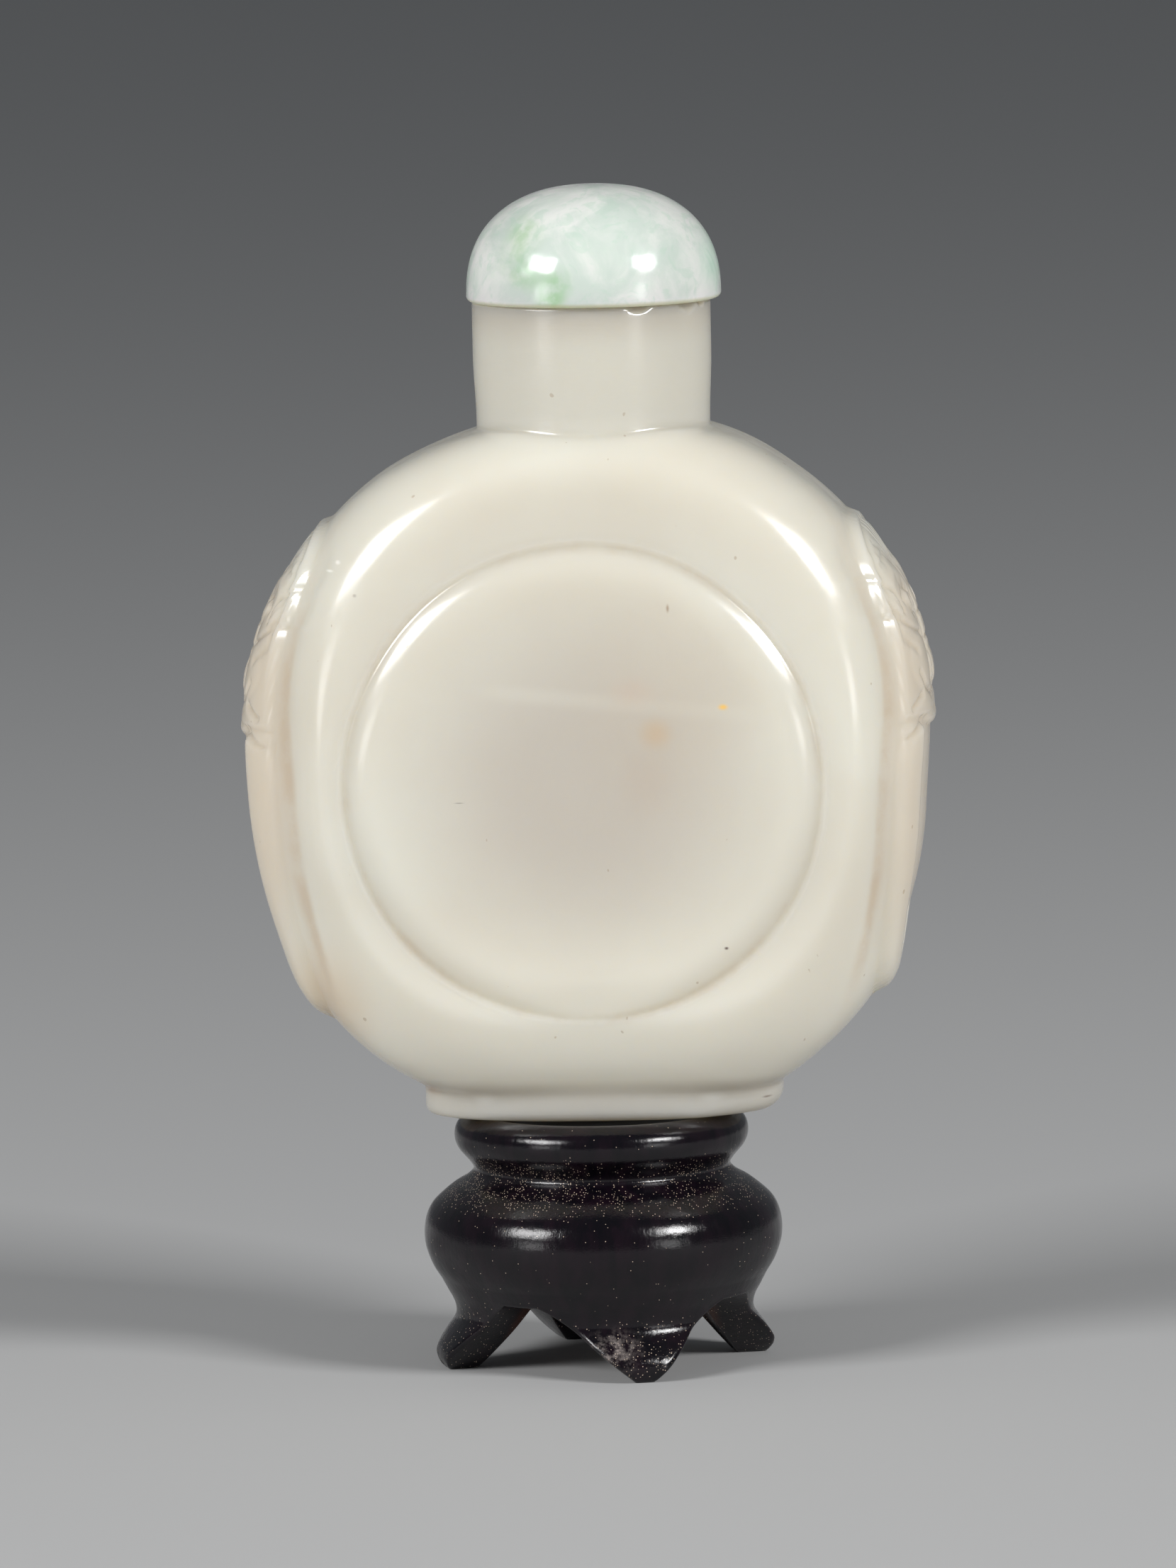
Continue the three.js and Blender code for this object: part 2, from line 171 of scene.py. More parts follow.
def ripple(points, wavelength, seed):
    """Smooth unevenness between about -1 and 1, from a few waves in fixed random directions."""
    draw = np.random.default_rng(seed)
    total = np.zeros(points.shape[:-1])
    for _ in range(7):
        direction = draw.normal(size=3)
        direction /= np.linalg.norm(direction)
        length = wavelength * draw.uniform(0.7, 1.5)
        total += np.sin(points @ direction * 2 * math.pi / length + draw.uniform(0, 6.283))
    return total / 3.5


def curve_through(points, steps):
    """Points along a smooth curve through the given ones (Catmull-Rom)."""
    p = np.array([points[0], *points, points[-1]], float)
    t = np.linspace(0, 1, steps, endpoint=False)[:, None]
    spans = [
        0.5 * (2 * b + (c - a) * t + (2 * a - 5 * b + 4 * c - d) * t ** 2
               + (3 * b - a - 3 * c + d) * t ** 3)
        for a, b, c, d in zip(p, p[1:], p[2:], p[3:])
    ]
    return np.concatenate([*spans, p[-1:]])


class Skin:
    """Points and faces of one closed surface, built from rings of points."""

    def __init__(self):
        self.points = []
        self.faces = []
        self.count = 0

    def add(self, points):
        indices = np.arange(points[..., 0].size).reshape(points.shape[:-1]) + self.count
        self.points.append(points.reshape(-1, 3))
        self.count += indices.size
        return indices

    def band(self, lower, upper):
        """Quads between two closed rings; the rings run anticlockwise seen from above."""
        after = [np.roll(ring, -1) for ring in (lower, upper)]
        self.faces += np.stack([lower, after[0], after[1], upper], -1).tolist()

    def bands(self, rings):
        for lower, upper in zip(rings, rings[1:]):
            self.band(lower, upper)

    def fan(self, ring, centre):
        middle = self.add(np.array([centre], float))[0]
        self.faces += [[middle, a, b] for a, b in zip(ring.tolist(), np.roll(ring, -1).tolist())]


def make_piece(name, skin, node, material):
    """The skin as an object that rides on the part's body and stands for its CAD node."""
    mesh = bpy.data.meshes.new(name)
    mesh.from_pydata((np.concatenate(skin.points) / METRE).tolist(), [], skin.faces)
    mesh.validate()
    mesh.shade_smooth()
    mesh.materials.append(material)
    piece = bpy.data.objects.new(name, mesh)
    bpy.context.scene.collection.objects.link(piece)
    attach(piece, "root")
    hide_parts(node)
    return piece


# ------------------------------------------------------------------ the bottle's outer form
def body_rise(z):
    return np.where(z > BODY_MID, BODY_UP, BODY_DOWN)


def body_half_width(z):
    u = np.minimum(abs(z - BODY_MID) / body_rise(z), 1)
    return BODY_HALF_WIDTH * (1 - u ** BODY_POWER) ** (1 / BODY_POWER)


def round_depth(share, lean):
    """Half thickness of the rounded form. share is 1 at the outline; lean is 1 straight above
    the middle and -1 straight below."""
    power = DEPTH_POWER + np.where(
        lean > 0, DEPTH_POWER_TOP * lean ** 3, -DEPTH_POWER_FOOT * lean ** 6)
    return BODY_HALF_DEPTH * (1 - np.minimum(share, 1) ** power) ** (1 / power)


def disc_depth(r):
    """Half thickness of a raised disc, the groove cut round it and the groove's outer lip."""
    over = np.clip(r - DISC_FLAT_RADIUS, 0, GROOVE_RADIUS - DISC_FLAT_RADIUS)
    disc = DISC_DEPTH - DISC_EDGE_RADIUS + np.sqrt(DISC_EDGE_RADIUS ** 2 - over ** 2)
    from_cut = r - GROOVE_RADIUS
    cut = GROOVE_CUT * np.exp(-((from_cut / GROOVE_CUT_WIDTH) ** 2))
    lip = GROOVE_LIP * np.exp(-(((from_cut - GROOVE_LIP_OFFSET) / GROOVE_LIP_WIDTH) ** 2))
    return soft_max(disc, GROOVE_DEPTH, 0.25) - cut + lip


def face_depth(x, z):
    """Half thickness of the body at a point of its face."""
    rise = z - BODY_MID
    lean = rise / np.maximum(np.hypot(x, rise), 1e-6)
    share = ((abs(x) / BODY_HALF_WIDTH) ** BODY_POWER
             + (abs(rise) / body_rise(z)) ** BODY_POWER) ** (1 / BODY_POWER)
    across, up = x - DISC_SHIFT, z - DISC_MID
    turn = np.arctan2(up, across)
    hand_cut = 0.05 * np.sin(3 * turn + 0.6) + 0.04 * np.sin(7 * turn + 2)
    disc = disc_depth(np.hypot(across, up) + hand_cut)
    crest_softness = 0.2 + 0.9 * smooth(lean, 0.05, 0.8)
    return np.maximum(soft_min(round_depth(share, lean), disc, crest_softness), 0)


def body_reach(angle, z):
    """Distance from the axis to the bare body, in a direction, at a height."""
    half_width = body_half_width(z)
    inside = np.zeros(np.broadcast(angle, z).shape)
    outside = half_width / np.maximum(abs(np.cos(angle)), 0.01)
    for _ in range(34):
        reach = (inside + outside) / 2
        x = abs(reach * np.cos(angle))
        within = (x < half_width) & (reach * abs(np.sin(angle)) < face_depth(x, z))
        inside = np.where(within, reach, inside)
        outside = np.where(within, outside, reach)
    return inside


def foot_reach(angle, z):
    reach = ((abs(np.cos(angle)) / FOOT_HALF_WIDTH) ** FOOT_POWER
             + (abs(np.sin(angle)) / FOOT_HALF_DEPTH) ** FOOT_POWER) ** (-1 / FOOT_POWER)
    edge = FOOT_EDGE + FOOT_EDGE_WORN * smooth(np.cos(angle), 0.7, 1)
    below = np.maximum(FOOT_BOTTOM + edge - z, 0)
    return reach - edge + np.sqrt(np.maximum(edge ** 2 - below ** 2, 0))


def neck_reach(z):
    above = np.maximum(z - (NECK_TOP - LIP_EDGE), 0)
    flare = smooth(z, NECK_TOP - NECK_LENGTH, NECK_TOP - NECK_FLARE_END)
    flare = mix(NECK_RADIUS, LIP_RADIUS, flare)
    return flare - LIP_EDGE + np.sqrt(np.maximum(LIP_EDGE ** 2 - above ** 2, 0))


# ------------------------------------------------------------------ mask-and-ring handles
# Low relief on the narrow sides. y is the distance from the side's middle line, and v the
# height above the bottom of the mask, so both halves of each mask are alike.
MASK_POWER = 3                      # how square the handle's outline is above and below
RING_POWER = 2.8
EDGE_CUSPS = [(9.5, 0.25), (6.8, 0.2)]                      # height, depth


def handle_inset(y, z, bottom):
    """How far inside the handle's outline a point lies."""
    below = np.maximum(RING_MID - z, 0) / (RING_MID - bottom)
    above = np.maximum(z - MASK_MID, 0) / (MASK_TOP - MASK_MID)
    half = mix(RING_HALF_WIDTH, MASK_HALF_WIDTH, smooth(z, RING_MID, MASK_MID))
    for v, deep in EDGE_CUSPS:
        half = half - deep * np.exp(-abs(z - MASK_BOTTOM - v) / 0.45)
    top = 1 - ((y / half) ** MASK_POWER + above ** MASK_POWER) ** (1 / MASK_POWER)
    away = ((y / half) ** RING_POWER + below ** RING_POWER) ** (1 / RING_POWER)
    lengthwise = (below / np.maximum(away, 1e-6)) ** RING_POWER
    low = (1 - away) * mix(1, (RING_MID - bottom) / half, lengthwise)
    return np.where(z > MASK_MID, top, low) * half


# The mask's rounded forms: centre, half sizes, height, turn.
MASK_BUMPS = [
    ((2.9, 7.7), (1.35, 0.8), 0.2, 10),                     # eye
    ((5.8, 7.9), (0.95, 0.5), 0.16, 53),                    # ear
    ((0, 6.2), (1.2, 4.4), 0.2, 0),                         # nose
    ((0, 3.1), (2.0, 1.35), 0.3, 0),                        # its tip
    ((3.9, 3.5), (2.3, 1.9), 0.14, 0),                      # muzzle
    ((5.3, 10.6), (0.9, 0.7), 0.1, 40),                     # tuft
]
BROW = ([(0.8, 8.3), (2.2, 9.6), (3.9, 9.9), (5.1, 9.3)], 1.1, 0.16)

# Cut lines: points, width, depth.
MASK_CUTS = [
    ([(6.5, 9.1), (6.6, 8.0), (5.6, 6.7)], 0.34, 0.16),                 # ear
    ([(6.3, 9.1), (5.4, 8.6), (5.0, 7.2)], 0.34, 0.16),
    ([(5.5, 7.5), (6.1, 8.4)], 0.3, 0.12),
    ([(1.4, 7.3), (2.4, 8.5), (3.6, 8.6), (4.3, 7.9)], 0.34, 0.16),     # eyelids
    ([(1.4, 7.3), (2.8, 6.8), (4.3, 7.9)], 0.34, 0.14),
    ([(6.7, 7.4), (6.1, 6.6), (4.0, 5.8), (2.2, 5.4)], 0.38, 0.2),      # cheek
    ([(6.0, 5.2), (4.8, 4.4)], 0.6, 0.14),
    ([(0, 1.5), (2.2, 1.1), (4.2, 1.9), (5.0, 2.9)], 0.36, 0.18),       # mouth
    ([(0, 6.9), (1.3, 6.5)], 0.34, 0.14),                               # wrinkles
    ([(0, 5.1), (1.5, 4.8)], 0.34, 0.14),
    *[([(a + 1.1, 8.4), (a + 1.3, 4.5), (a + 0.8, 1.4)], 0.26, 0.1) for a in (0, 0.75)],
    *[([(a, 13.3 - 0.1 * a * a), (a * 0.6, 11.6 - 0.1 * a), (a * 0.2, 9.9)], 0.32, 0.13)
      for a in (0.8, 2.3, 3.9, 5.4)],                                   # hair
]
MASK_PITS = [
    ((2.9, 7.7), (0.45, 0.45), 0.12),                       # pupil
    ((0.95, 2.7), (0.4, 0.3), 0.16),                        # nostril
]


def mask_relief(y, v, inset):
    plate = mix(0.38, 0.58, smooth(v, 0, 8)) * smooth(inset, -0.1, 0.22)
    forms = np.maximum.reduce([line(y, v, *BROW), *(bump(y, v, *form) for form in MASK_BUMPS)])
    cuts = (sum(line(y, v, *cut) for cut in MASK_CUTS)
            + sum(bump(y, v, *pit) for pit in MASK_PITS))
    rim = 0.16 * np.exp(-(((inset - 0.72) / 0.17) ** 2)) * smooth(v, 4.5, 6.5)
    return plate + (forms - cuts) * smooth(inset, 0.1, 0.6) - rim


def ring_relief(y, z, inset, bottom):
    across = np.clip(2 * inset / RING_BAND - 1, -1, 1)
    height = RING_RELIEF * (1 + 0.4 * smooth(z, bottom + 7, bottom + 1))
    return height * (1 - across ** 4) ** 0.7 * smooth(z, MASK_BOTTOM + 0.6, MASK_BOTTOM - 1.4)


def handle_relief(y, z, bottom, worn):
    """Relief of one handle; worn is how much lower its middle is rubbed."""
    y = abs(y)
    v = z - MASK_BOTTOM
    inset = handle_inset(y, z, bottom)
    mask = mask_relief(y, v, inset) * smooth(v, -0.5, 0.1)
    lip = bump(y, v, (0, -0.4), (4.2, 0.7), 0.45)
    cuts = (line(y, v, [(6.5, 0.5), (4.9, 1.3)], 0.42, 0.3)
            + line(y, v, [(7.25, -1.4), (5.1, -0.4)], 0.42, 0.32)) * smooth(inset, 0, 0.4)
    valley = 0.3 * np.exp(-(((inset + 0.75) / 0.6) ** 2))
    valley = valley * smooth(z, bottom - 0.5, bottom + 5) * smooth(z, MASK_TOP, MASK_TOP - 3)
    rubbed = worn * np.exp(-(((z - MASK_BOTTOM) / 6) ** 2)) * smooth(inset, -1, 2)
    return np.maximum.reduce([mask, ring_relief(y, z, inset, bottom), lip]) - cuts - valley - rubbed


# ------------------------------------------------------------------ the bottle's skin
HANDLE_STEPS = 50
VALLEY_STEPS = 8
SIDE_STEPS = HANDLE_STEPS + VALLEY_STEPS
HANDLE_REACH = 7.9                  # how far the finest side columns reach from the middle line
SIDE_REACH = 9.6
FACE_STEPS = 48
FACE_LOW = FOOT_BOTTOM + 4.55
FACE_HIGH = FOOT_BOTTOM + 44.65


def column_angles():
    """Column directions round the body from +X, evenly spaced across the narrow sides."""
    y = np.concatenate([np.linspace(0, HANDLE_REACH, HANDLE_STEPS, endpoint=False),
                        np.linspace(HANDLE_REACH, SIDE_REACH, VALLEY_STEPS + 1)])
    side = np.arccos((1 - (y / BODY_HALF_DEPTH) ** DEPTH_POWER) ** (1 / DEPTH_POWER))
    face = np.linspace(side[-1], math.pi - side[-1], FACE_STEPS + 1)[1:-1]
    half = np.concatenate([-side[:0:-1], side, face])
    return np.concatenate([half, half + math.pi])


def level_heights():
    """Heights of the rows of points: below the faces, on them, and above them."""
    foot = FOOT_BOTTOM + np.array([0, 0.08, 0.2, 0.38, 0.6, 0.85, 1.15, 1.5])
    foot_joint = np.linspace(FOOT_BOTTOM + 1.7, FOOT_BOTTOM + 4.3, 14)
    face = np.concatenate([
        np.linspace(FACE_LOW, RING_BOTTOM[0] - 0.2, 7, endpoint=False),
        np.linspace(RING_BOTTOM[0] - 0.2, MASK_BOTTOM - 2, 60, endpoint=False),
        np.linspace(MASK_BOTTOM - 2, MASK_TOP + 0.2, 86, endpoint=False),
        np.linspace(MASK_TOP + 0.2, FACE_HIGH, 7),
    ])
    joint = np.linspace(FACE_HIGH + 0.3, NECK_TOP - NECK_LENGTH, 18)
    neck = np.linspace(NECK_TOP - 8, NECK_TOP - 1.6, 8)
    lip = NECK_TOP - np.array([1.3, 1.1, 0.9, 0.7, 0.55, 0.4, 0.28, 0.15, 0.08, 0.03, 0])
    return np.concatenate([foot, foot_joint]), face, np.concatenate([joint, neck, lip])


# Chips out of the neck's rim: direction in degrees, half width, depth down the rim.
CHIP_DEPTH = 0.3
RIM_CHIPS = [(-64, 0.9, 0.5), (-33, 1.1, 0.65), (-20, 0.6, 0.4), (150, 0.8, 0.5)]


def rim_chips(angle, z):
    total = np.zeros(np.broadcast(angle, z).shape)
    for degrees, half, deep in RIM_CHIPS:
        turn = np.angle(np.exp(1j * (angle - math.radians(degrees))))
        total += bump(turn * LIP_RADIUS, z, (0, NECK_TOP + 0.05), (half, deep), CHIP_DEPTH)
    return total


def outer_points(t, z):
    """Points of the outer surface, for column directions t and heights z."""
    # the body, with the relief of the handles
    t, z = np.meshgrid(t, z)
    half_width = body_half_width(z)
    x = half_width * np.cos(t)
    y = np.sign(np.sin(t)) * face_depth(np.minimum(abs(x), half_width), z)
    y = np.where(abs(np.sin(t)) < 1e-9, 0, y)
    left, right = (handle_relief(y, z, *handle) for handle in zip(RING_BOTTOM, HANDLE_WEAR))
    relief = np.where(x < 0, left, right)
    on_face = (z >= FACE_LOW) & (z <= FACE_HIGH)
    slim = SLIM_SIDE * smooth(x, 19, 23) * smooth(z, FOOT_BOTTOM + 4, FOOT_BOTTOM + 9)
    slim = slim * smooth(z, FOOT_BOTTOM + 29, FOOT_BOTTOM + 21)
    body = np.stack([x + (np.sign(x) * relief - slim) * on_face, y, z], -1)

    # the neck, whose columns turn from the body's to its own round ones
    body_angle = np.arctan2(y, x)
    lift = smooth(z, FACE_HIGH, FACE_HIGH + 3.4)
    angle = mix(body_angle, np.arctan2(np.sin(t), np.cos(t)), lift)
    reach = soft_max(body_reach(angle, z), neck_reach(z), JOINT_SOFTNESS) - rim_chips(angle, z)
    neck = np.stack([reach * np.cos(angle) + NECK_SHIFT * lift, reach * np.sin(angle), z], -1)

    # the foot
    drop = 1 - smooth(z, FOOT_BOTTOM + 1.5, FACE_LOW)
    foot_angle = np.arctan2(FOOT_HALF_DEPTH * np.sin(t), FOOT_HALF_WIDTH * np.cos(t))
    angle = mix(body_angle, foot_angle, drop)
    reach = soft_max(body_reach(angle, z), foot_reach(angle, z), JOINT_SOFTNESS)
    foot = np.stack([reach * np.cos(angle) + FOOT_SHIFT * drop, reach * np.sin(angle), z], -1)
    points = np.where((z > FACE_HIGH)[..., None], neck, body)
    return np.where((z < FACE_LOW)[..., None], foot, points)


FLAT_RING = 17.4                    # inside this radius the rings round a disc are circles


def add_disc_face(skin, rim, facing):
    """Fills the square hole inside a rim of indices with rings that turn into circles."""
    points = np.concatenate(skin.points)[rim]
    across, up = points[:, 0] - DISC_SHIFT, points[:, 2] - DISC_MID
    full = np.hypot(across, up)
    radii = [mix(FLAT_RING, full, share) for share in np.linspace(1, 0, 17)[1:-1]]
    circles = [FLAT_RING, *np.linspace(GROOVE_RADIUS + 0.7, GROOVE_RADIUS - 0.25, 11),
               *np.linspace(GROOVE_RADIUS - 0.45, DISC_FLAT_RADIUS, 9), 13.6, 12.5, 10.5, 8, 5]
    rings = [rim]
    for radius in [*radii, *(np.full_like(full, r) for r in circles)]:
        px, pz = DISC_SHIFT + radius * across / full, DISC_MID + radius * up / full
        rings.append(skin.add(np.stack([px, facing * face_depth(px, pz), pz], -1)))
    skin.bands(rings)
    skin.fan(rings[-1], (DISC_SHIFT, facing * DISC_DEPTH, DISC_MID))


def bottle_skin():
    skin = Skin()
    angles = column_angles()
    foot, face, neck = level_heights()
    grid = skin.add(outer_points(angles, np.concatenate([foot, face, neck])))
    first, last = len(foot), len(foot) + len(face) - 1
    back = 2 * SIDE_STEPS
    front = back + len(angles) // 2
    columns = np.arange(len(angles))
    in_face = [(columns >= start) & (columns < start + FACE_STEPS) for start in (back, front)]
    beside_faces = columns[~(in_face[0] | in_face[1])]
    for row in range(len(grid) - 1):
        keep = beside_faces if first <= row < last else columns
        after = (keep + 1) % len(angles)
        quads = [grid[row][keep], grid[row][after], grid[row + 1][after], grid[row + 1][keep]]
        skin.faces += np.stack(quads, -1).tolist()
    for start, facing in ((back, 1), (front, -1)):
        across = np.arange(start, start + FACE_STEPS + 1) % len(angles)
        rim = np.concatenate([
            grid[first, across[:-1]],
            grid[first:last, across[-1]],
            grid[last, across[:0:-1]],
            grid[last:first:-1, across[0]],
        ])
        add_disc_face(skin, rim, facing)

    # from the lip down the bore and round the cavity
    def inner_ring(half_width, half_depth, height, shift=0.0):
        return skin.add(np.stack([half_width * np.cos(angles) + shift,
                                  half_depth * np.sin(angles),
                                  np.full_like(angles, height)], -1))

    bore = [inner_ring(BORE_RADIUS + BORE_EDGE, BORE_RADIUS, NECK_TOP, NECK_SHIFT)]
    for drop in (BORE_EDGE, 5, BORE_LENGTH):
        bore.append(inner_ring(BORE_RADIUS, BORE_RADIUS, NECK_TOP - drop, NECK_SHIFT))
    cavity = []
    for lean in np.radians(np.linspace(62, -80, 10)):
        rise = (CAVITY_UP if lean > 0 else CAVITY_DOWN) * math.sin(lean)
        cavity.append(inner_ring(CAVITY_HALF_WIDTH * math.cos(lean) ** CAVITY_WIDTH_POWER,
                                 CAVITY_HALF_DEPTH * math.cos(lean) ** CAVITY_DEPTH_POWER,
                                 BODY_MID + rise))
    skin.bands([grid[-1], *bore, *cavity])
    skin.fan(cavity[-1], (0, 0, BODY_MID - CAVITY_DOWN))
    skin.fan(grid[0][::-1], (FOOT_SHIFT, 0, FOOT_BOTTOM))
    return skin


# ------------------------------------------------------------------ the stopper's skin
STOPPER_POWER = 2.35
STOPPER_EDGE = 0.4
STOPPER_UNEVENNESS = 0.003
STOPPER_COLUMNS = 192


def stopper_skin():
    skin = Skin()
    t = np.linspace(0, 2 * math.pi, STOPPER_COLUMNS, endpoint=False)
    dome = [(STOPPER_RADIUS * math.cos(a) ** (2 / STOPPER_POWER),
             STOPPER_EDGE + (STOPPER_HEIGHT - STOPPER_EDGE) * math.sin(a) ** (2 / STOPPER_POWER))
            for a in np.radians(np.linspace(1.5, 88, 54))]
    edge = [(STOPPER_RADIUS - STOPPER_EDGE * (1 - math.cos(a)),
             STOPPER_EDGE * (1 - math.sin(a))) for a in np.radians(np.linspace(85, 0, 9))]
    profile = [(STOPPER_RADIUS - 4, 0), *edge, *dome]
    rings = []
    for radius, height in profile:
        ring = np.stack([radius * np.cos(t) + STOPPER_SHIFT, radius * np.sin(t),
                         np.full_like(t, STOPPER_BOTTOM + height)], -1)
        if height > STOPPER_EDGE + 0.2:
            ring[:, :2] *= 1 - STOPPER_UNEVENNESS * (1 + ripple(ring, 16, 5))[:, None]
        rings.append(skin.add(ring))
    skin.bands(rings)
    skin.fan(rings[-1], (STOPPER_SHIFT, 0, STOPPER_BOTTOM + STOPPER_HEIGHT))
    skin.fan(rings[0][::-1], (STOPPER_SHIFT, 0, STOPPER_BOTTOM))
    return skin


# ------------------------------------------------------------------ the stand's skin
WAIST_HEIGHT = 13.8
STAND_PROFILE = [                   # radius and height, from the sunk top out and down
    (7.3, 16.3), (7.8, 16.9), (8.6, STAND_HEIGHT), (9.6, 17.45), (10.15, 16.9), (10.3, 16.1),
    (10.05, 15.3), (9.3, 14.4), (9.0, WAIST_HEIGHT), (9.5, 13.2), (10.5, 12.6), (11.6, 11.7),
    (12.1, 11.1), (12.4, 10.4), (12.53, 9.7), (STAND_RADIUS, 9.1), (12.47, 8.4), (12.22, 7.6),
    (11.9, 6.9), (11.45, 6.2),
]
SKIRT_TOP = 6.2
CEILING = 6.7                       # of the space under the stand
APRON_EDGE = 5.1                    # height of the apron's lower edge between two legs
LEG_COUNT = 4
STAND_TURN = 16.8                   # degrees from -Y towards +X to the first leg
TOE_HALF_WIDTH = 0.6
LEG_SPREAD = 6.1                    # from the toe to where the apron is level
LEG_POWER = 1.17
LEG_SIDE_RADII = (9.7, 10.8)        # the smaller, the fuller that side of every leg
STAND_COLUMNS = 384
ARRIS = 0.28                        # rounding of the legs' and apron's edges

# Height and radius of the legs' outer and inner faces.
LEG_OUTER = curve_through([(0, 11.2), (0.45, 11.75), (1.2, 11.9), (2.4, 11.2), (3.5, 10.45),
                           (4.5, 10.55), (5.35, 11.0), (SKIRT_TOP, 11.45)], 8)
LEG_INNER = curve_through([(0, 9.5), (0.6, 9.0), (1.6, 8.3), (3.2, 7.4), (4.8, 6.9),
                           (CEILING, 6.6)], 8)


def outer_radius(z):
    return np.interp(z, LEG_OUTER[:, 0], LEG_OUTER[:, 1])


def inner_radius(z):
    return np.interp(z, LEG_INNER[:, 0], LEG_INNER[:, 1])


def edge_height(distance):
    """Height of the lower edge, by the distance round the stand from a leg's middle."""
    u = np.clip((distance - TOE_HALF_WIDTH) / LEG_SPREAD, 0, 1)
    return APRON_EDGE * (1 - (1 - u) ** LEG_POWER)


def stand_skin():
    skin = Skin()
    t = np.linspace(0, 2 * math.pi, STAND_COLUMNS, endpoint=False)
    pitch = 2 * math.pi / LEG_COUNT
    from_leg = (t - math.radians(STAND_TURN - 90) + pitch / 2) % pitch - pitch / 2
    edge = edge_height(abs(from_leg) * np.where(from_leg < 0, *LEG_SIDE_RADII))

    def ring(radius, z):
        return skin.add(np.stack([radius * np.cos(t), radius * np.sin(t), z + 0 * t], -1))

    def arris(radius, side, degrees):
        """Rings round the lower edge's outer (side -1) or inner (side 1) corner."""
        for a in np.radians(degrees):
            rings.append(ring(radius(edge + ARRIS) + side * ARRIS * (1 - math.cos(a)),
                              edge + ARRIS * (1 - math.sin(a))))

    rings = [ring(r, z) for r, z in curve_through(STAND_PROFILE, 5)]
    for share in np.linspace(1, 0, 13)[1:]:
        z = mix(edge + ARRIS, SKIRT_TOP, share)
        rings.append(ring(outer_radius(z), z))
    arris(outer_radius, -1, [30, 60, 90])
    rings.append(ring((outer_radius(edge) + inner_radius(edge)) / 2, edge))
    arris(inner_radius, 1, [90, 60, 30])
    for share in np.linspace(0, 1, 8):
        z = mix(edge + ARRIS, CEILING, share)
        rings.append(ring(inner_radius(z), z))
    skin.bands(rings[::-1])
    skin.fan(rings[0], (0, 0, STAND_PROFILE[0][1]))
    skin.fan(rings[-1][::-1], (0, 0, CEILING))
    return skin


